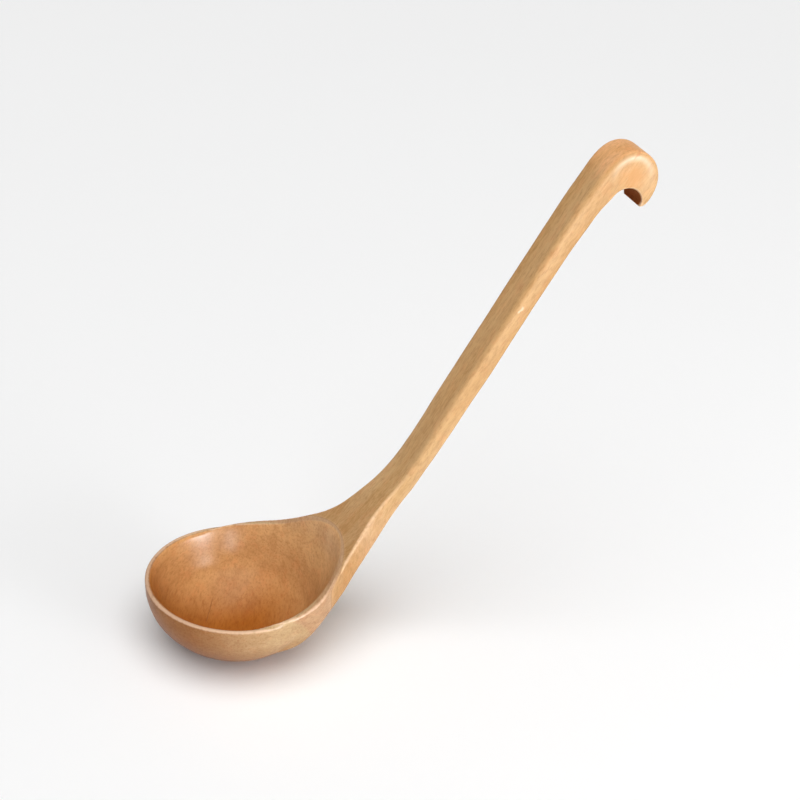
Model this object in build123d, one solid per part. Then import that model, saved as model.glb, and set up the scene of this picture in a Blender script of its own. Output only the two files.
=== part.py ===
from build123d import *
import os
from math import cos, radians, sin

# A wooden soup ladle with a hooked handle, in millimetres.
# +Z is up, the bowl's axis is the Z axis, and the handle leans out towards +X.
# The origin is the lowest point of the bowl. Both sides of the XZ plane are alike.
# Heights named rise or depth are counted from the plane of the bowl's rim.

# Bowl
rim_radius = 40.0
bowl_depth = 34.5
lip_width = 2.2
lip_round = 0.8
lip_bevel = 0.7
floor_thickness = 4.0
inner_radius = rim_radius - lip_width
inner_depth = bowl_depth - floor_thickness

# Edge of the hollow where it runs up into the neck
scoop_overhang = 5.4
scoop_radius = rim_radius + scoop_overhang
scoop_rise = 15.2
scoop_lean = (scoop_radius - inner_radius, scoop_rise)

# Glue joint between the bowl's lug and the handle's foot
lug_overhang = 4.2
lug_radius = rim_radius + lug_overhang
lug_straight_rise = 6.0
collar_width = 1.0

# Handle, measured on its top face
neck_inset = 4.0
neck_width = 2 * rim_radius - neck_inset
neck_thickness = 15.4
neck_round = 0.9
handle_width = 17.2
handle_thickness = 8.7
handle_round = 2.6

# Hook, about the centre of its inner curve
handle_reach = 122.9
hook_reach = rim_radius + handle_reach
hook_rise = 167.0
hook_gap_radius = 7.2
hook_thickness = 16.4
hook_width = 17.6
hook_inner_round = 1.0

# Length by which a cutting solid runs past what it cuts
overrun = 20.0

# Top line of the neck: its places as shares of the rim's radius and the hook's rise,
# its width and thickness as shares of the neck's, and its underside's width as a share of its own
neck_place_shares = (
    (-0.15, -0.002),
    (0.10, 0.005),
    (0.35, 0.010),
    (0.55, 0.017),
    (0.75, 0.031),
    (0.95, 0.060),
)
neck_width_shares = (0.965, 1.025, 1.01, 0.945, 0.82, 0.64)
neck_thickness_shares = (1.30, 1.33, 1.32, 1.03, 0.78, 0.66)
neck_heel_shares = (0.86, 0.86, 0.87, 0.91, 0.88, 0.90)

# Top line of the shank: its places as shares of the handle's reach beyond the rim and the hook's rise,
# and its width, thickness and corners as shares of the handle's
shank_place_shares = (
    (0.049, 0.095),
    (0.110, 0.140),
    (0.167, 0.187),
    (0.228, 0.235),
    (0.299, 0.306),
    (0.381, 0.415),
    (0.491, 0.561),
    (0.626, 0.739),
    (0.748, 0.901),
    (0.832, 1.008),
)
shank_width_shares = (2.03, 1.45, 1.13, 1.01, 0.99, 0.99, 1.01, 1.00, 0.97, 0.96)
shank_thickness_shares = (0.99, 1.05, 1.01, 0.90, 0.84, 0.98, 1.03, 1.01, 1.08, 1.20)
shank_round_shares = (0.35, 0.35, 0.40, 0.50, 0.75, 1.00, 1.00, 1.00, 1.00, 1.00)

# The hook's sections stand like spokes round the centre of its inner curve
hook_angles = (150, 132, 114, 97, 82, 66, 50, 35, 20, 6, -7, -17)
hook_width_shares = (0.95, 0.96, 0.98, 1.00, 1.00, 1.00, 1.00, 1.00, 0.99, 0.97, 0.92, 0.80)
hook_thickness_shares = (0.67, 0.71, 0.83, 0.96, 1.00, 0.94, 0.81, 0.64, 0.45, 0.29, 0.17, 0.08)

# Number of sections that shape the neck and shank
section_count = 34

# Largest corner that a thin section takes, as a share of its thickness
corner_limit_share = 0.42

# Places where the bowl's floor turns up into its wall, as shares of its radius and depth
outside_knee_shares = (0.71, 0.71)
hollow_knee_shares = (0.74, 0.62)


def rounded_section(top_middle, along, width, thickness, top_round, heel_round, heel_share=1):
    """Rounded outline hung from top_middle, square to the direction along.

    Its underside is heel_share as wide as its top.
    """
    corner = min(top_round, corner_limit_share * thickness)
    heel_corner = min(heel_round, corner_limit_share * thickness)
    side = width / 2
    heel_side = side * heel_share
    outline = Wire(
        [
            Line((corner - side, 0), (side - corner, 0)).edge(),
            CenterArc((side - corner, -corner), corner, 90, -90).edge(),
            Line((side, -corner), (heel_side, heel_corner - thickness)).edge(),
            CenterArc((heel_side - heel_corner, heel_corner - thickness), heel_corner, 0, -90).edge(),
            Line((heel_side - heel_corner, -thickness), (heel_corner - heel_side, -thickness)).edge(),
            CenterArc((heel_corner - heel_side, heel_corner - thickness), heel_corner, -90, -90).edge(),
            Line((-heel_side, heel_corner - thickness), (-side, -corner)).edge(),
            CenterArc((corner - side, -corner), corner, 180, -90).edge(),
        ]
    )
    stand = Plane(origin=top_middle, x_dir=(0, 1, 0), z_dir=along)
    return stand * Face(outline)


def hook_point(angle, radius):
    """Point at an angle and radius from the centre of the hook's inner curve."""
    return Vector(
        hook_reach + radius * cos(radians(angle)),
        0,
        hook_rise + radius * sin(radians(angle)),
    )


def hook_sections():
    """Sections of the hook, fanned about the centre of its inner curve."""
    sections = []
    for angle, width_share, thickness_share in zip(hook_angles, hook_width_shares, hook_thickness_shares):
        thickness = hook_thickness * thickness_share
        outer = hook_point(angle, hook_gap_radius + thickness)
        along = Vector(sin(radians(angle)), 0, -cos(radians(angle)))
        width = hook_width * width_share
        sections.append(rounded_section(outer, along, width, thickness, handle_round, hook_inner_round))
    return sections


def value_at(place, places, values):
    """Value at a place along the top line, even between the two given places on either side of it."""
    for start, end, first, last in zip(places, places[1:], values, values[1:]):
        if place <= end:
            return first + (last - first) * (place - start) / (end - start)
    return values[-1]


def neck_and_shank_sections():
    """Sections of the neck and shank, closely set along the top line and square to it."""
    points = [Vector(rim_radius * reach, 0, hook_rise * rise) for reach, rise in neck_place_shares]
    points += [
        Vector(rim_radius + handle_reach * reach, 0, hook_rise * rise) for reach, rise in shank_place_shares
    ]
    widths = [neck_width * share for share in neck_width_shares]
    widths += [handle_width * share for share in shank_width_shares]
    thicknesses = [neck_thickness * share for share in neck_thickness_shares]
    thicknesses += [handle_thickness * share for share in shank_thickness_shares]
    rounds = [neck_round for share in neck_width_shares]
    rounds += [handle_round * share for share in shank_round_shares]
    heel_shares = neck_heel_shares + tuple(1 for share in shank_width_shares)

    hook_start_thickness = hook_thickness * hook_thickness_shares[0]
    points.append(hook_point(hook_angles[0], hook_gap_radius + hook_start_thickness))
    widths.append(hook_width * hook_width_shares[0])
    thicknesses.append(hook_start_thickness)

    top_line = Spline(*points)
    places = [top_line.param_at_point(point) for point in points]
    sections = []
    for step in range(section_count):
        place = step / section_count
        sections.append(
            rounded_section(
                top_line.position_at(place, position_mode=PositionMode.PARAMETER),
                top_line.tangent_at(place, position_mode=PositionMode.PARAMETER),
                value_at(place, places, widths),
                value_at(place, places, thicknesses),
                value_at(place, places, rounds),
                value_at(place, places, rounds),
                value_at(place, places, heel_shares),
            )
        )
    return sections


def make_handle_blank():
    """Whole length of the handle, from inside the bowl's wall to the tip of the hook."""
    return loft(neck_and_shank_sections() + hook_sections())


def turned(outline):
    """Solid turned about the bowl's axis, with its seam on the side away from the handle."""
    return Rot(0, 0, 180) * revolve(Plane.XZ * make_face(outline), Axis.Z)


def cup_curves(radius, depth, edge_drop, edge_lean, knee_shares):
    """Floor and wall of a cup, from the middle of its floor up to its edge."""
    radius_share, depth_share = knee_shares
    knee = (radius * radius_share, -depth * depth_share)
    floor = Spline((0, -depth), knee, tangents=[(1, 0), (radius, depth)])
    wall = Spline(knee, (radius, -edge_drop), tangents=[(radius, depth), edge_lean])
    return [floor, wall]


def make_round_bowl():
    """Outside of the bowl, a half oval turned about its axis, with a round lip bevelled inwards."""
    side = cup_curves(rim_radius, bowl_depth, lip_round, (0, 1), outside_knee_shares)
    lip = CenterArc((rim_radius - lip_round, -lip_round), lip_round, 0, 90)
    bevel_radius = inner_radius + lip_bevel
    inside_radius = inner_radius - lip_bevel
    inside = Polyline(
        (rim_radius - lip_round, 0),
        (bevel_radius, 0),
        (inside_radius, inside_radius - bevel_radius),
        (0, inside_radius - bevel_radius),
        (0, -bowl_depth),
    )
    return turned([*side, lip, inside])


def make_hollow():
    """Space inside the bowl, with a wall that leans out and runs on up through the neck."""
    end_radius = scoop_radius + (scoop_radius - inner_radius) / 2
    end_rise = scoop_rise + overrun
    side = cup_curves(inner_radius, inner_depth, 0, scoop_lean, hollow_knee_shares)
    scoop_wall = Spline(
        (inner_radius, 0),
        (scoop_radius, scoop_rise),
        (end_radius, end_rise),
        tangents=[scoop_lean, (0, 1)],
    )
    top = Line((end_radius, end_rise), (0, end_rise))
    axis = Line((0, end_rise), (0, -inner_depth))
    return turned([*side, scoop_wall, top, axis])


def make_joint_seat():
    """Round block with the shape of the glue joint: upright, then leaning out just behind the hollow."""
    collar_radius = scoop_radius + collar_width
    lean = (collar_radius - lug_radius) / (scoop_rise - lug_straight_rise)
    end_radius = collar_radius + lean * overrun
    profile = Polyline(
        (0, -bowl_depth - overrun),
        (lug_radius, -bowl_depth - overrun),
        (lug_radius, lug_straight_rise),
        (end_radius, scoop_rise + overrun),
        (0, scoop_rise + overrun),
        close=True,
    )
    return turned(profile)


def make_bowl(handle_blank, seat):
    """Bowl and lug in one piece: the lug has the shape of the handle's end, and both are hollowed."""
    return (make_round_bowl() + (handle_blank & seat)) - make_hollow()


def main():
    handle_blank = make_handle_blank()
    seat = make_joint_seat()
    bowl = make_bowl(handle_blank, seat)
    handle = handle_blank - seat
    os.makedirs("parts", exist_ok=True)
    for name, solid in (("bowl", bowl), ("handle", handle)):
        export_step(Pos(0, 0, bowl_depth) * solid, f"parts/{name}.step")


main()
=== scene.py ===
import math

import bmesh
import bpy
import numpy
from mathutils import Matrix, Vector


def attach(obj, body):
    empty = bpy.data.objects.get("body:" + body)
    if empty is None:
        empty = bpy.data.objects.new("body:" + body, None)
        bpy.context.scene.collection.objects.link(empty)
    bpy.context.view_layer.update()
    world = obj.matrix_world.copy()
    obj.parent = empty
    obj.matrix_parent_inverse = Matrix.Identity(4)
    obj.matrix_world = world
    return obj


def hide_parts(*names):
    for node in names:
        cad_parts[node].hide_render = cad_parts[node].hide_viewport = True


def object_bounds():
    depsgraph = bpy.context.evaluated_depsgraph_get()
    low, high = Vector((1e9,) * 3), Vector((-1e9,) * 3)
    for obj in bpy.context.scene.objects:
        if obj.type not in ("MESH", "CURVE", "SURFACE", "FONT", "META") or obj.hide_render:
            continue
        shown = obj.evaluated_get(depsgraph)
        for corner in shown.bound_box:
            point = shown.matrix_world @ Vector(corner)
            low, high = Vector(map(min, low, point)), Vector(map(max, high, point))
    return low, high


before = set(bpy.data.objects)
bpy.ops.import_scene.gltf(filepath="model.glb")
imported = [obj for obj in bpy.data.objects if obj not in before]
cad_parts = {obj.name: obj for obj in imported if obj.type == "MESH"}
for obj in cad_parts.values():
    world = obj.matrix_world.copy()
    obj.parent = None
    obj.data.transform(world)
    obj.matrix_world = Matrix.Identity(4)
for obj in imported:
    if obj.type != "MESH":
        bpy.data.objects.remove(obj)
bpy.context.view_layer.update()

# A wooden soup ladle: a bowl with its lug and a hooked handle, glued along a coped joint.
# Metres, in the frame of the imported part: +Z up, the bowl's axis on the Z axis, the handle towards +X.
# A tone is red, green, blue and opacity. Where a tone or a pattern comes in gradually, a pair of numbers
# says where it starts and where it is complete.

# Fineness of the carved surface
VOXEL = 0.00055
SOFTENING_STEPS = 3
SOFTENING = 0.5
TURN_STEPS = 360

# Distance under which points left by the cut are made one
WELD = 0.00003

# Slight unevenness that carving and sanding leave
CARVED_DEPTH = 0.0002
CARVED_LENGTH = 0.016

# Joint between lug and handle, turned round the bowl's axis: upright up to its bend, then leaning out
JOINT_RADIUS = 0.0442
JOINT_LOW_HEIGHT = -0.05
JOINT_BEND_HEIGHT = 0.0405
JOINT_TOP_RISE = 0.06
JOINT_LEAN = 0.239

# Middle of the bowl's wall, which parts the tones inside and outside
RIM_HEIGHT = 0.0345
WALL_MIDDLE_RADIUS = 0.0382
WALL_MIDDLE_DEPTH = 0.0325
SCOOP_LEAN = 0.5

# Centre and radius of the hook's inner curve, seen along Y, and how far outside it its face may lie
HOOK_MIDDLE = (0.1629, 0.2015)
HOOK_GAP_RADIUS = 0.0072
HOOK_FACE_REACH = 0.0007

# Directions in which the wood's fibres run
BOWL_FIBRE = Vector((0.48, 0.87, 0.0))
HANDLE_FIBRE = Vector((0.5, 0.0, 0.866))

# Pale, middle and dark tone of each piece's wood, and how strongly its yearly rings show
BOWL_TONES = ((0.63, 0.42, 0.24, 1), (0.56, 0.355, 0.19, 1), (0.37, 0.18, 0.08, 1))
BOWL_RING_SHARE = 0.08
HANDLE_TONES = ((0.63, 0.385, 0.18, 1), (0.57, 0.325, 0.132, 1), (0.38, 0.19, 0.065, 1))
HANDLE_RING_SHARE = 0.14

# Patterns in the wood: how fine across the fibres, the share of that along them, detail and roughness
FINE_GRAIN = (1150.0, 0.22, 3.0, 0.68)
PORES = (4200.0, 0.13, 2.0, 0.5)
MOTTLE = (420.0, 0.35, 4.0, 0.62)
BANDS = (130.0, 0.05, 3.0, 0.5)
PATCHES = (190.0, 0.5, 5.0, 0.7)

# Yearly rings: how far they are shifted across the fibres, stretched along them, and how they waver
RING_SHIFT = (0.031, 0.0, 0.052)
RING_STRETCH = (1.0, 0.06, 1.0)
RING_SCALE = 120.0
RING_WAVER = 3.2
RING_DETAIL = 2.0
RING_DETAIL_SCALE = 0.7

# Values of each pattern between which it comes to show, and how strongly it then shows
BANDS_SHOW = (0.36, 0.64)
RINGS_SHOW = (0.50, 1.0)
DARK_STREAKS_SHOW = (0.46, 0.70)
DARK_STREAKS_SHARE = 0.46
PALE_STREAKS_SHOW = (0.50, 0.32)
PALE_STREAKS_SHARE = 0.50
MOTTLE_SHOWS = (0.48, 0.66)
MOTTLE_SHARE = 0.20
WARM_PATCHES_SHOW = (0.50, 0.64)
WARM_PATCH_TONE = (1.03, 0.97, 0.95, 1)
COOL_PATCHES_SHOW = (0.48, 0.36)
COOL_PATCH_TONE = (0.98, 0.97, 0.95, 1)
PORES_SHOW = (0.62, 0.72)
PORES_SHARE = 0.40

# Relief and gloss of the surface
RELIEF_DEPTH = 0.00010
RELIEF_STRENGTH = 0.5
GRAIN_RELIEF = 0.6
PORE_RELIEF = 0.3
GLOSS_CHANGE = 0.08

# Rubbed edges, painted paler both for wear and as a painted highlight: reach over which an edge's bulge
# is measured, the bulges between which they show, the distances from the joint between which they come in,
# and their strength and tones
EDGE_REACH = 0.0013
WORN_AND_LIT_BULGE = (0.00006, 0.00020)
WORN_AND_LIT_OFF_JOINT = (0.0004, 0.0012)
WORN_AND_LIT_SHARE = 0.55
BOWL_WORN_AND_LIT_TONE = (0.86, 0.60, 0.42, 1)
HANDLE_WORN_AND_LIT_TONE = (0.88, 0.64, 0.42, 1)

# Glue line, and the paler wood beside it: distances from the joint, strength and tone
GLUE_LINE = (0.00020, 0.00008)
GLUE_SHARE = 0.25
GLUE_TONE = (0.30, 0.16, 0.08, 1)
BESIDE_GLUE = (0.0007, 0.0002)
BESIDE_GLUE_SHARE = 0.15
BESIDE_GLUE_TONE = (0.74, 0.50, 0.32, 1)

# Tones of the bowl's hollow: across the wall's middle, along X from the joint, and a painted shade along Y
# from the far side
HOLLOW_START = (-0.0001, 0.0004)
HOLLOW_LEFTWARDS = (0.046, 0.008)
HOLLOW_RIGHT_TONE = (1.20, 1.06, 0.84, 1)
HOLLOW_LEFT_TONE = (1.10, 0.86, 0.58, 1)
HOLLOW_SHADE_NEARWARDS = (0.0325, 0.003)
HOLLOW_NEAR_SHADE_TONE = (0.58, 0.36, 0.14, 1)

# Tones of the bowl's outside: the lug by its radius, and painted shade on the lower part by height and on the
# left part along X
OUTSIDE_TONE = (0.88, 0.90, 0.85, 1)
LUG_START = (0.0402, 0.0408)
LUG_TONE = (0.99, 0.89, 0.91, 1)
LOWER_SHADE_DOWNWARDS = (0.028, 0.004)
LOWER_SHADE_TONE = (0.50, 0.25, 0.05, 1)
LEFT_SHADE_LEFTWARDS = (0.012, -0.036)
LEFT_SHADE_TONE = (0.61, 0.38, 0.24, 1)

# Tones of the handle by height: the lower shank, the neck, and painted light on the top of the hook's bend
# off its flanks
SHANK_DOWNWARDS = (0.130, 0.080)
SHANK_TONE = (1.00, 1.04, 1.10, 1)
NECK_DOWNWARDS = (0.075, 0.042)
NECK_TONE = (0.88, 0.80, 0.73, 1)
LIT_BEND_UPWARDS = (0.210, 0.223)
LIT_BEND_INWARDS = (0.0086, 0.0070)
LIT_BEND_TONE = (1.42, 1.30, 1.36, 1)

# Flanks of the hook: a cream line of painted highlight round an orange core, seen along Y, with the middle of
# both
FLANK_OUTWARDS = (0.0066, 0.0080)
CREAM_MIDDLE = (0.1639, 0.2138)
CREAM_RADIUS = 0.0086
CREAM_WIDTH = 0.0022
CREAM_UPWARDS = (0.210, 0.221)
CREAM_HIGHLIGHT_TONE = (0.82, 0.61, 0.42, 1)
CREAM_HIGHLIGHT_SHARE = 0.50
CORE_RADIUS = 0.003
CORE_MOTTLE = (0.35, 0.60)
CORE_LEAST = 0.5
CORE_TONE = (0.60, 0.27, 0.07, 1)
CORE_SHARE = 0.60

# Painted shade inside the hook, by the distance from the centre of its inner curve
HOOK_INSIDE = (HOOK_GAP_RADIUS + 0.0005, HOOK_GAP_RADIUS + 0.0003)
HOOK_INSIDE_SHADE_TONE = (0.36, 0.17, 0.08, 1)

# Single marks in the wood: middle, half of length and width, tone and strength
FLOOR_STREAK = ((-0.0082, 0.0131, 0.0073), 0.009, 0.00028, (0.24, 0.09, 0.03, 1), 0.9)
HOOK_SMUDGE = ((0.1650, -0.0080, 0.2236), 0.0030, 0.00080, (0.62, 0.24, 0.10, 1), 0.6)
SHANK_FLECK = ((0.1195, -0.0082, 0.1565), 0.0024, 0.00090, (0.92, 0.74, 0.52, 1), 0.7)

# How such a mark wanders, in its own widths, and the shares of its length and depth that are strongest
MARK_WANDER = 3
MARK_WANDER_SCALE = 300.0
MARK_WANDER_DETAIL = 2.0
MARK_LENGTH_SHARE = 0.4
MARK_DEPTH_SHARE = 0.5

# Roughness and refraction of the oiled surfaces
BOWL_ROUGHNESS = 0.25
BOWL_OUTSIDE_IOR = 1.18
BOWL_INSIDE_IOR = 1.28
HANDLE_ROUGHNESS = 0.30
HANDLE_IOR = 1.17
HOOK_INSIDE_ROUGHNESS = 0.75
HOOK_INSIDE_IOR = 1.12

# Camera, which looks at its aim, with its angles in degrees worked out from the photograph's oval rim
CAMERA_AIM = Vector((0.07077, 0.0, 0.11447))
CAMERA_DISTANCE = 0.75425
CAMERA_AZIMUTH = -23.905
CAMERA_ELEVATION = 29.839
CAMERA_ROLL = 5.016
CAMERA_LENS = 78.75
CAMERA_NEAREST = 0.01
SENSOR_WIDTH = 36.0

# Soft boxes, which face a point low in the bowl's hollow: direction, side and power of each
LIT_MIDDLE = Vector((0.0, 0.0, 0.03))
BOX_DISTANCE = 1.1
FRONT_FILL = (Vector((0.518, -0.830, 0.208)), 0.36, 3.8)
RIGHT_GLOSS = (Vector((0.525, -0.840, 0.13)), 0.42, 62.0)
FRONT_GLOSS = (Vector((-0.135, -0.963, 0.13)), 0.07, 6.4)

# Wide light from above, its spread in degrees
KEY_DIRECTION = Vector((-0.15, -0.30, 0.94))
KEY_STRENGTH = 2.3
KEY_SPREAD = 60

# White room, brighter in front of the object than behind it
ROOM_BACKWARDS = (-0.7, 0.7)
ROOM_FRONT = 0.46
ROOM_BACK = 0.04
ROOM_TONE = (1.0, 1.0, 1.0, 1.0)

# Pale floor
FLOOR_REACH = 6.0
FLOOR_TONE = (0.96, 0.96, 0.96, 1.0)
FLOOR_CLOUD_TONE = (0.9456, 0.9456, 0.9456, 1.0)
FLOOR_CLOUD_SCALE = 3.0
FLOOR_ROUGHNESS = 0.7


# Shapes

def mesh_object(name, mesh):
    """New object that shows a mesh."""
    piece = bpy.data.objects.new(name, mesh)
    bpy.context.scene.collection.objects.link(piece)
    return piece


def joined_nodes():
    """One object with the meshes of the bowl and the handle."""
    whole = bmesh.new()
    for node in ("bowl", "handle"):
        whole.from_mesh(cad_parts[node].data)
    mesh = bpy.data.meshes.new("ladle_blank")
    whole.to_mesh(mesh)
    whole.free()
    return mesh_object("ladle_blank", mesh)


def joint_block():
    """Solid turned about the bowl's axis with the shape of the joint's seat."""
    top_height = JOINT_BEND_HEIGHT + JOINT_TOP_RISE
    profile = (
        (JOINT_RADIUS, JOINT_LOW_HEIGHT),
        (JOINT_RADIUS, JOINT_BEND_HEIGHT),
        (JOINT_RADIUS + JOINT_LEAN * JOINT_TOP_RISE, top_height),
    )
    block = bmesh.new()
    rings = []
    for step in range(TURN_STEPS):
        turn = Matrix.Rotation(math.tau * step / TURN_STEPS, 3, "Z")
        rings.append([block.verts.new(turn @ Vector((radius, 0, height))) for radius, height in profile])
    floor = block.verts.new((0, 0, JOINT_LOW_HEIGHT))
    roof = block.verts.new((0, 0, top_height))
    for ring, following in zip(rings, rings[1:] + rings[:1]):
        block.faces.new((ring[0], following[0], following[1], ring[1]))
        block.faces.new((ring[1], following[1], following[2], ring[2]))
        block.faces.new((floor, following[0], ring[0]))
        block.faces.new((roof, ring[2], following[2]))
    mesh = bpy.data.meshes.new("joint_block")
    block.to_mesh(mesh)
    block.free()
    return mesh_object("joint_block", mesh)


def carve(blank):
    """Softens the blank's edges and leaves the slight waves of hand work on it."""
    even = blank.modifiers.new("even", "REMESH")
    even.mode = "VOXEL"
    even.voxel_size = VOXEL
    soften = blank.modifiers.new("soften", "SMOOTH")
    soften.factor = SOFTENING
    soften.iterations = SOFTENING_STEPS
    waves = bpy.data.textures.new("carved_waves", "CLOUDS")
    waves.noise_scale = CARVED_LENGTH
    waves.noise_depth = 1
    uneven = blank.modifiers.new("uneven", "DISPLACE")
    uneven.texture = waves
    uneven.strength = CARVED_DEPTH


def cut_piece(name, blank, block, operation):
    """One piece of the carved blank, cut along the joint's seat."""
    cut = blank.modifiers.new("cut", "BOOLEAN")
    cut.operation = operation
    cut.solver = "EXACT"
    cut.object = block
    shown = blank.evaluated_get(bpy.context.evaluated_depsgraph_get())
    mesh = bpy.data.meshes.new_from_object(shown)
    mesh.name = name
    blank.modifiers.remove(cut)
    clean_cut(mesh)
    mesh.materials.clear()
    mesh.shade_smooth()
    mark_bulges(mesh)
    return mesh_object(name, mesh)


def clean_cut(mesh):
    """Makes points that lie together one, and takes out slivers whose two faces lie back to back."""
    cut = bmesh.new()
    cut.from_mesh(mesh)
    bmesh.ops.triangulate(cut, faces=cut.faces)
    bmesh.ops.remove_doubles(cut, verts=cut.verts, dist=WELD)
    bmesh.ops.dissolve_degenerate(cut, edges=cut.edges, dist=WELD)
    bmesh.ops.triangulate(cut, faces=cut.faces)
    alike = {}
    for face in cut.faces:
        alike.setdefault(frozenset(face.verts), []).append(face)
    slivers = [face for faces in alike.values() if len(faces) > 1 for face in faces]
    bmesh.ops.delete(cut, geom=slivers, context="FACES")
    cut.to_mesh(mesh)
    cut.free()


def read_numbers(items, name, width, kind):
    """Values of one property of many mesh items, as rows of numbers."""
    values = numpy.empty(len(items) * width, kind)
    items.foreach_get(name, values)
    return values.reshape(-1, width)


def mark_bulges(mesh):
    """Stores how far each point stands out from its softened surroundings, which is most along edges."""
    points = read_numbers(mesh.vertices, "co", 3, numpy.float32)
    normals = read_numbers(mesh.vertices, "normal", 3, numpy.float32)
    ends = read_numbers(mesh.edges, "vertices", 2, numpy.int32)
    here = numpy.concatenate((ends[:, 0], ends[:, 1]))
    there = numpy.concatenate((ends[:, 1], ends[:, 0]))
    share = 1.0 / numpy.maximum(numpy.bincount(here, minlength=len(points)), 1)
    soft = points.astype(float)
    for step in range(max(1, round((EDGE_REACH / VOXEL) ** 2))):
        columns = [numpy.bincount(here, soft[there, axis], len(points)) * share for axis in range(3)]
        soft = (soft + numpy.stack(columns, 1)) / 2
    bulge = ((points - soft) * normals).sum(1)
    mesh.attributes.new("bulge", "FLOAT", "POINT").data.foreach_set("value", bulge.astype(numpy.float32))


def use_materials(piece, main, other, belongs):
    """Gives the piece its main material, and the other one to the faces whose middle belongs to it."""
    piece.data.materials.append(main)
    piece.data.materials.append(other)
    for face in piece.data.polygons:
        if belongs(face.center):
            face.material_index = 1


def in_bowl(point):
    """Whether a point of the bowl lies on its hollow."""
    drop = RIM_HEIGHT - point.z
    if drop < 0:
        return point.xy.length < WALL_MIDDLE_RADIUS - drop * SCOOP_LEAN
    return (point.xy.length / WALL_MIDDLE_RADIUS) ** 2 + (drop / WALL_MIDDLE_DEPTH) ** 2 < 1


def in_hook(point):
    """Whether a point of the handle lies on the hook's inner curve."""
    return math.dist((point.x, point.z), HOOK_MIDDLE) < HOOK_GAP_RADIUS + HOOK_FACE_REACH


# Materials

class Tree:
    """Short way to add and join shader nodes."""

    def __init__(self, owner):
        owner.use_nodes = True
        self.tree = owner.node_tree
        self.tree.nodes.clear()

    def node(self, kind, inputs=(), **settings):
        """New node with its settings, and with its inputs set or joined."""
        made = self.tree.nodes.new(kind)
        for key, value in settings.items():
            setattr(made, key, value)
        for socket, value in dict(inputs).items():
            self.feed(made.inputs[socket], value)
        return made

    def feed(self, socket, value):
        """Joins an input to the output of a node, or sets it to a value."""
        if isinstance(value, bpy.types.NodeSocket):
            self.tree.links.new(value, socket)
        else:
            socket.default_value = value

    def math(self, operation, first, second=0.0, third=0.0):
        """Result of a sum or another operation."""
        inputs = {0: first, 1: second, 2: third}
        return self.node("ShaderNodeMath", inputs, operation=operation).outputs[0]

    def times(self, first, second):
        """First times second."""
        return self.math("MULTIPLY", first, second)

    def less(self, first, second):
        """First less second."""
        return self.math("SUBTRACT", first, second)

    def stretched(self, place, scale=(1.0, 1.0, 1.0), turn=(0.0, 0.0, 0.0), shift=(0.0, 0.0, 0.0)):
        """Place after a scale, a turn and a shift."""
        inputs = {"Vector": place, "Location": shift, "Rotation": turn, "Scale": scale}
        return self.node("ShaderNodeMapping", inputs).outputs[0]

    def noise(self, place, scale, detail=3.0, roughness=0.5):
        """Cloudy values about a half."""
        inputs = {"Vector": place, "Scale": scale, "Detail": detail, "Roughness": roughness}
        return self.node("ShaderNodeTexNoise", inputs).outputs[0]

    def ramp(self, value, change, most=1.0, least=0.0):
        """Least where the value is at the start of its change, most at the end, and smooth between."""
        start, end = change
        inputs = {0: value, 1: start, 2: end, 3: least, 4: most}
        return self.node("ShaderNodeMapRange", inputs, interpolation_type="SMOOTHSTEP").outputs[0]

    def blend(self, share, first, second, way="MIX"):
        """First colour where share is 0, and its mix or product with the second where it is 1."""
        mixer = self.node("ShaderNodeMix", data_type="RGBA", blend_type=way)
        self.feed(mixer.inputs[0], share)
        self.feed(mixer.inputs[6], first)
        self.feed(mixer.inputs[7], second)
        return mixer.outputs[2]


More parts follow.
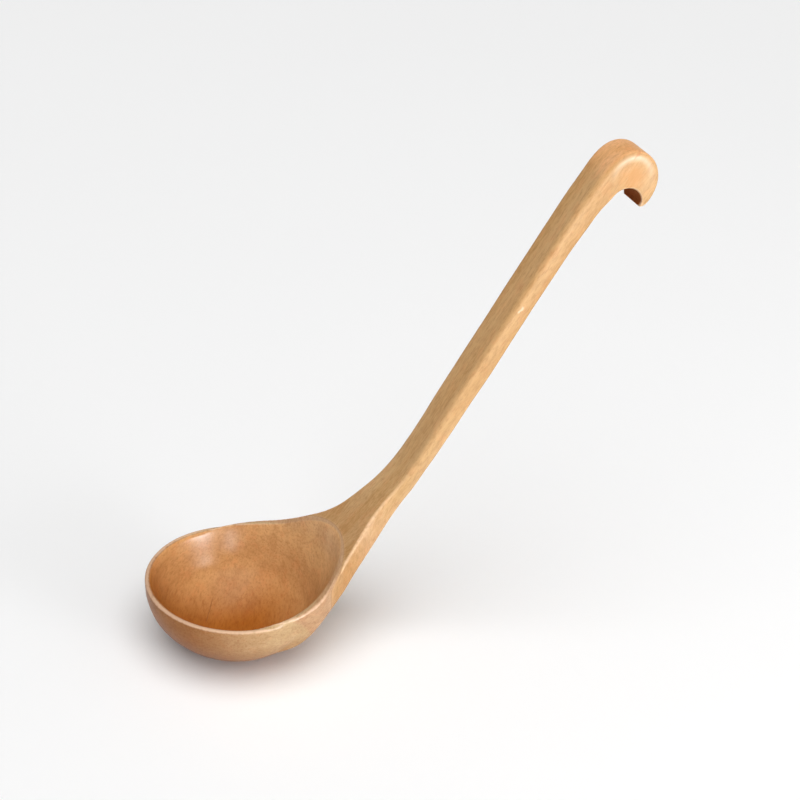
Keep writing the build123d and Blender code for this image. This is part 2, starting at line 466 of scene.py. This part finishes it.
class Wood(Tree):
    """Oiled fine-grained wood whose fibres run along a given direction."""

    def __init__(self, name, fibre, tones, ring_share):
        self.material = bpy.data.materials.new(name)
        super().__init__(self.material)
        self.place = self.node("ShaderNodeTexCoord").outputs["Object"]
        parts = self.node("ShaderNodeSeparateXYZ", {0: self.place})
        self.reach = parts.outputs["X"]
        self.depth = parts.outputs["Y"]
        self.height = parts.outputs["Z"]
        self.across = self.math("ABSOLUTE", self.depth)
        flat = self.stretched(self.place, (1.0, 1.0, 0.0))
        self.radius = self.node("ShaderNodeVectorMath", {0: flat}, operation="LENGTH").outputs["Value"]
        above_bend = self.math("MAXIMUM", self.less(self.height, JOINT_BEND_HEIGHT), 0.0)
        seat = self.math("MULTIPLY_ADD", above_bend, JOINT_LEAN, JOINT_RADIUS)
        self.off_joint = self.math("ABSOLUTE", self.less(self.radius, seat))

        # Turn that brings the fibres onto the Y axis
        self.turn = fibre.normalized().rotation_difference(Vector((0, 1, 0))).to_euler()
        self.along = self.stretched(self.place, turn=self.turn)
        self.fine = self.pattern(*FINE_GRAIN)
        self.pores = self.pattern(*PORES)
        self.mottle = self.pattern(*MOTTLE)
        self.colour = self.grain(ring_share, *tones)
        self.worn_and_lit = self.rubbed_and_lit_edges()

    def pattern(self, scale, along_share, detail, roughness):
        """Noise that is drawn out along the fibres."""
        return self.noise(self.stretched(self.along, (1.0, along_share, 1.0)), scale, detail, roughness)

    def rings(self):
        """Yearly rings, nearly straight lines along the fibres."""
        inputs = {
            "Vector": self.stretched(self.along, RING_STRETCH, shift=RING_SHIFT),
            "Scale": RING_SCALE,
            "Distortion": RING_WAVER,
            "Detail": RING_DETAIL,
            "Detail Scale": RING_DETAIL_SCALE,
        }
        waves = self.node("ShaderNodeTexWave", inputs, wave_type="RINGS", rings_direction="Y")
        return waves.outputs["Fac"]

    def grain(self, ring_share, pale, middle, dark):
        """Growth bands, yearly rings, long streaks, mottling and short dark pores."""
        colour = self.blend(self.ramp(self.pattern(*BANDS), BANDS_SHOW), pale, middle)
        colour = self.blend(self.ramp(self.rings(), RINGS_SHOW, ring_share), colour, dark)
        colour = self.blend(self.ramp(self.fine, DARK_STREAKS_SHOW, DARK_STREAKS_SHARE), colour, dark)
        colour = self.blend(self.ramp(self.fine, PALE_STREAKS_SHOW, PALE_STREAKS_SHARE), colour, pale)
        colour = self.blend(self.ramp(self.mottle, MOTTLE_SHOWS, MOTTLE_SHARE), colour, dark)
        patches = self.pattern(*PATCHES)
        colour = self.blend(self.ramp(patches, WARM_PATCHES_SHOW), colour, WARM_PATCH_TONE, "MULTIPLY")
        colour = self.blend(self.ramp(patches, COOL_PATCHES_SHOW), colour, COOL_PATCH_TONE, "MULTIPLY")
        return self.blend(self.ramp(self.pores, PORES_SHOW, PORES_SHARE), colour, dark)

    def rubbed_and_lit_edges(self):
        """1 along the edges that hands rub and that get a painted highlight, 0 on flat wood and at the joint.
        """
        bulge = self.node("ShaderNodeAttribute", attribute_name="bulge").outputs["Fac"]
        return self.times(self.ramp(bulge, WORN_AND_LIT_BULGE), self.ramp(self.off_joint, WORN_AND_LIT_OFF_JOINT))

    def distance_from(self, middle):
        """Distance, seen along Y, from a point given by its X and Z."""
        aside = self.less(self.reach, middle[0])
        up = self.less(self.height, middle[1])
        return self.math("SQRT", self.math("MULTIPLY_ADD", aside, aside, self.times(up, up)))

    def tint(self, share, tone):
        """Multiplies the colour by a tone where share is 1."""
        self.colour = self.blend(share, self.colour, tone, "MULTIPLY")

    def cover(self, share, tone, amount):
        """Lays a tone over the colour where share is 1, as strongly as the amount says."""
        self.colour = self.blend(self.times(share, amount), self.colour, tone)

    def mark(self, middle, length, width, tone, amount):
        """A line of grain, centred on a point, that reaches as far and is as wide as given."""
        shift = self.node("ShaderNodeVectorMath", {0: self.place, 1: middle}, operation="SUBTRACT").outputs[0]
        turned = self.stretched(shift, turn=self.turn)
        wander = self.noise(turned, MARK_WANDER_SCALE, MARK_WANDER_DETAIL)
        parts = self.node("ShaderNodeSeparateXYZ", {0: turned})
        aside = self.math("MULTIPLY_ADD", wander, width * MARK_WANDER, parts.outputs["X"])
        aside = self.math("ABSOLUTE", self.less(aside, width * MARK_WANDER / 2))
        along = self.math("ABSOLUTE", parts.outputs["Y"])
        deep = self.math("ABSOLUTE", parts.outputs["Z"])
        near = self.ramp(aside, (width, 0.0))
        near = self.times(near, self.ramp(along, (length, length * MARK_LENGTH_SHARE)))
        near = self.times(near, self.ramp(deep, (length, length * MARK_DEPTH_SHARE)))
        self.cover(near, tone, amount)

    def joint(self):
        """The fine line of the glue joint, with paler wood beside it."""
        self.cover(self.ramp(self.off_joint, BESIDE_GLUE), BESIDE_GLUE_TONE, BESIDE_GLUE_SHARE)
        self.cover(self.ramp(self.off_joint, GLUE_LINE), GLUE_TONE, GLUE_SHARE)

    def finish(self, roughness, worn_and_lit_tone, bending):
        """Handled edges are rubbed smoother, and painted paler for wear and as a painted highlight."""
        # Paler edges: wear together with a painted highlight
        self.cover(self.worn_and_lit, worn_and_lit_tone, WORN_AND_LIT_SHARE)
        gloss = self.math("MULTIPLY_ADD", self.fine, GLOSS_CHANGE, roughness)
        gloss = self.math("MULTIPLY_ADD", self.mottle, GLOSS_CHANGE, gloss)
        gloss = self.math("MULTIPLY_ADD", self.worn_and_lit, -GLOSS_CHANGE, gloss)
        relief = self.math("MULTIPLY_ADD", self.fine, GRAIN_RELIEF, self.times(self.pores, PORE_RELIEF))
        height = {"Height": relief, "Distance": RELIEF_DEPTH, "Strength": RELIEF_STRENGTH}
        bump = self.node("ShaderNodeBump", height).outputs[0]
        inputs = {"Base Color": self.colour, "Roughness": gloss, "Normal": bump, "IOR": bending}
        surface = self.node("ShaderNodeBsdfPrincipled", inputs)
        self.node("ShaderNodeOutputMaterial", {0: surface.outputs[0]})
        return self.material


def hollow_share(wood):
    """1 on the bowl's hollow and 0 on its outside, parted along the middle of its wall."""
    drop = wood.less(RIM_HEIGHT, wood.height)
    below = wood.math("DIVIDE", wood.math("MAXIMUM", drop, 0.0), WALL_MIDDLE_DEPTH)
    oval = wood.math("SQRT", wood.math("MAXIMUM", wood.less(1.0, wood.math("POWER", below, 2.0)), 0.0))
    above = wood.math("MAXIMUM", wood.times(drop, -1.0), 0.0)
    wall = wood.math("MULTIPLY_ADD", above, SCOOP_LEAN, wood.times(oval, WALL_MIDDLE_RADIUS))
    return wood.ramp(wood.less(wall, wood.radius), HOLLOW_START)


def bowl_wood(name, bending):
    """Tan outside, pinker lug, an inside that oil has turned orange, and painted shade low, left and near."""
    wood = Wood(name, BOWL_FIBRE, BOWL_TONES, BOWL_RING_SHARE)
    inside = hollow_share(wood)
    leftwards = wood.ramp(wood.reach, HOLLOW_LEFTWARDS)
    near_shade = wood.times(wood.ramp(wood.depth, HOLLOW_SHADE_NEARWARDS), leftwards)
    wood.tint(inside, wood.blend(leftwards, HOLLOW_RIGHT_TONE, HOLLOW_LEFT_TONE))
    # Painted shade on the near half of the hollow, deepest on the near wall
    wood.tint(wood.times(near_shade, inside), HOLLOW_NEAR_SHADE_TONE)
    outside = wood.less(1.0, inside)
    wood.tint(outside, OUTSIDE_TONE)
    wood.tint(wood.times(wood.ramp(wood.radius, LUG_START), outside), LUG_TONE)
    # Painted shade low on the outside and on its left side
    wood.tint(wood.times(wood.ramp(wood.height, LOWER_SHADE_DOWNWARDS), outside), LOWER_SHADE_TONE)
    wood.tint(wood.times(wood.ramp(wood.reach, LEFT_SHADE_LEFTWARDS), outside), LEFT_SHADE_TONE)
    wood.mark(*FLOOR_STREAK)
    wood.joint()
    return wood.finish(BOWL_ROUGHNESS, BOWL_WORN_AND_LIT_TONE, bending)


def tint_hook(wood):
    """Painted highlight as a cream line round an orange core on the hook's flanks, and painted shade inside
    its curve.
    """
    flank = wood.ramp(wood.across, FLANK_OUTWARDS)
    from_cream = wood.distance_from(CREAM_MIDDLE)
    off_cream = wood.math("ABSOLUTE", wood.less(from_cream, CREAM_RADIUS))
    cream_highlight = wood.times(wood.ramp(off_cream, (CREAM_WIDTH, 0.0)), wood.ramp(wood.height, CREAM_UPWARDS))
    core = wood.ramp(from_cream, (CREAM_RADIUS, CORE_RADIUS))
    core = wood.times(core, wood.ramp(wood.mottle, CORE_MOTTLE, 1.0, CORE_LEAST))
    wood.cover(wood.times(flank, core), CORE_TONE, CORE_SHARE)
    # Painted highlight along the rounding of the hook's flanks
    wood.cover(wood.times(flank, cream_highlight), CREAM_HIGHLIGHT_TONE, CREAM_HIGHLIGHT_SHARE)
    # Painted shade inside the hook's curve
    wood.tint(wood.ramp(wood.distance_from(HOOK_MIDDLE), HOOK_INSIDE), HOOK_INSIDE_SHADE_TONE)


def handle_wood(name, roughness, bending):
    """Pale tan with long streaks, duller at the neck, with painted light over the top of the hook's bend."""
    wood = Wood(name, HANDLE_FIBRE, HANDLE_TONES, HANDLE_RING_SHARE)
    wood.tint(wood.ramp(wood.height, SHANK_DOWNWARDS), SHANK_TONE)
    wood.tint(wood.ramp(wood.height, NECK_DOWNWARDS), NECK_TONE)
    # Painted light on the top of the hook's bend
    lit_bend = wood.times(wood.ramp(wood.height, LIT_BEND_UPWARDS), wood.ramp(wood.across, LIT_BEND_INWARDS))
    wood.tint(lit_bend, LIT_BEND_TONE)
    tint_hook(wood)
    wood.mark(*HOOK_SMUDGE)
    wood.mark(*SHANK_FLECK)
    wood.joint()
    return wood.finish(roughness, HANDLE_WORN_AND_LIT_TONE, bending)


def floor_paint():
    """Even matt paint for the floor, with the faintest cloudiness."""
    material = bpy.data.materials.new("pale_floor")
    paint = Tree(material)
    place = paint.node("ShaderNodeTexCoord").outputs["Object"]
    mixed = paint.blend(paint.noise(place, FLOOR_CLOUD_SCALE), FLOOR_TONE, FLOOR_CLOUD_TONE)
    surface = paint.node("ShaderNodeBsdfPrincipled", {"Base Color": mixed, "Roughness": FLOOR_ROUGHNESS})
    paint.node("ShaderNodeOutputMaterial", {0: surface.outputs[0]})
    return material


# Floor, light and camera

def add_floor():
    """Wide pale floor at the height of the bowl's lowest point."""
    low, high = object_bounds()
    floor = bmesh.new()
    corners = ((-1, -1), (1, -1), (1, 1), (-1, 1))
    floor.faces.new([floor.verts.new((FLOOR_REACH * x, FLOOR_REACH * y, low[2])) for x, y in corners])
    mesh = bpy.data.meshes.new("floor")
    floor.to_mesh(mesh)
    floor.free()
    mesh.materials.append(floor_paint())
    mesh_object("floor", mesh)


def add_camera():
    """Camera that looks at its aim from its distance, turned by its azimuth, elevation and roll."""
    data = bpy.data.cameras.new("camera")
    data.lens = CAMERA_LENS
    data.sensor_width = SENSOR_WIDTH
    data.clip_start = CAMERA_NEAREST
    camera = bpy.data.objects.new("camera", data)
    bpy.context.scene.collection.objects.link(camera)
    turn = Matrix.Rotation(math.radians(CAMERA_AZIMUTH), 4, "Z")
    turn = turn @ Matrix.Rotation(math.radians(90 - CAMERA_ELEVATION), 4, "X")
    turn = turn @ Matrix.Rotation(math.radians(CAMERA_ROLL), 4, "Z")
    camera.matrix_world = Matrix.Translation(CAMERA_AIM) @ turn @ Matrix.Translation((0, 0, CAMERA_DISTANCE))
    bpy.context.scene.camera = camera


def soft_box(name, direction, side, power, only_gloss):
    """Square light that shines from a direction, either for its gloss alone or without any."""
    data = bpy.data.lights.new(name, "AREA")
    data.shape = "SQUARE"
    data.size = side
    data.energy = power
    light = bpy.data.objects.new(name, data)
    bpy.context.scene.collection.objects.link(light)
    towards = direction.normalized()
    light.location = LIT_MIDDLE + towards * BOX_DISTANCE
    light.rotation_euler = towards.to_track_quat("Z", "Y").to_euler()
    light.visible_diffuse = not only_gloss
    light.visible_glossy = only_gloss


def key_light():
    """Wide even light from above, which leaves no gloss of its own."""
    data = bpy.data.lights.new("key", "SUN")
    data.energy = KEY_STRENGTH
    data.angle = math.radians(KEY_SPREAD)
    light = bpy.data.objects.new("key", data)
    bpy.context.scene.collection.objects.link(light)
    light.rotation_euler = KEY_DIRECTION.normalized().to_track_quat("Z", "Y").to_euler()
    light.visible_glossy = False


def studio_room():
    """Even white surroundings that light the front of the object more than its back."""
    world = bpy.data.worlds.new("room")
    bpy.context.scene.world = world
    room = Tree(world)
    place = room.node("ShaderNodeTexCoord").outputs["Generated"]
    depth = room.node("ShaderNodeSeparateXYZ", {0: place}).outputs["Y"]
    strength = room.ramp(depth, ROOM_BACKWARDS, ROOM_BACK, ROOM_FRONT)
    background = room.node("ShaderNodeBackground", {"Color": ROOM_TONE, "Strength": strength})
    room.node("ShaderNodeOutputWorld", {0: background.outputs[0]})


# The ladle

blank = joined_nodes()
carve(blank)
block = joint_block()
bowl = cut_piece("bowl_wood", blank, block, "INTERSECT")
handle = cut_piece("handle_wood", blank, block, "DIFFERENCE")
bpy.data.objects.remove(blank)
bpy.data.objects.remove(block)

bowl_outside = bowl_wood("bowl_outside", BOWL_OUTSIDE_IOR)
bowl_inside = bowl_wood("bowl_inside", BOWL_INSIDE_IOR)
use_materials(bowl, bowl_outside, bowl_inside, in_bowl)
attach(bowl, "root")
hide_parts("bowl")

handle_outside = handle_wood("handle_wood", HANDLE_ROUGHNESS, HANDLE_IOR)
hook_inside = handle_wood("hook_inside", HOOK_INSIDE_ROUGHNESS, HOOK_INSIDE_IOR)
use_materials(handle, handle_outside, hook_inside, in_hook)
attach(handle, "root")
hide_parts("handle")

# The studio

add_floor()
add_camera()
studio_room()
key_light()
soft_box("front_fill", *FRONT_FILL, only_gloss=False)
soft_box("right_gloss", *RIGHT_GLOSS, only_gloss=True)
soft_box("front_gloss", *FRONT_GLOSS, only_gloss=True)
bpy.context.scene.view_settings.view_transform = "Standard"
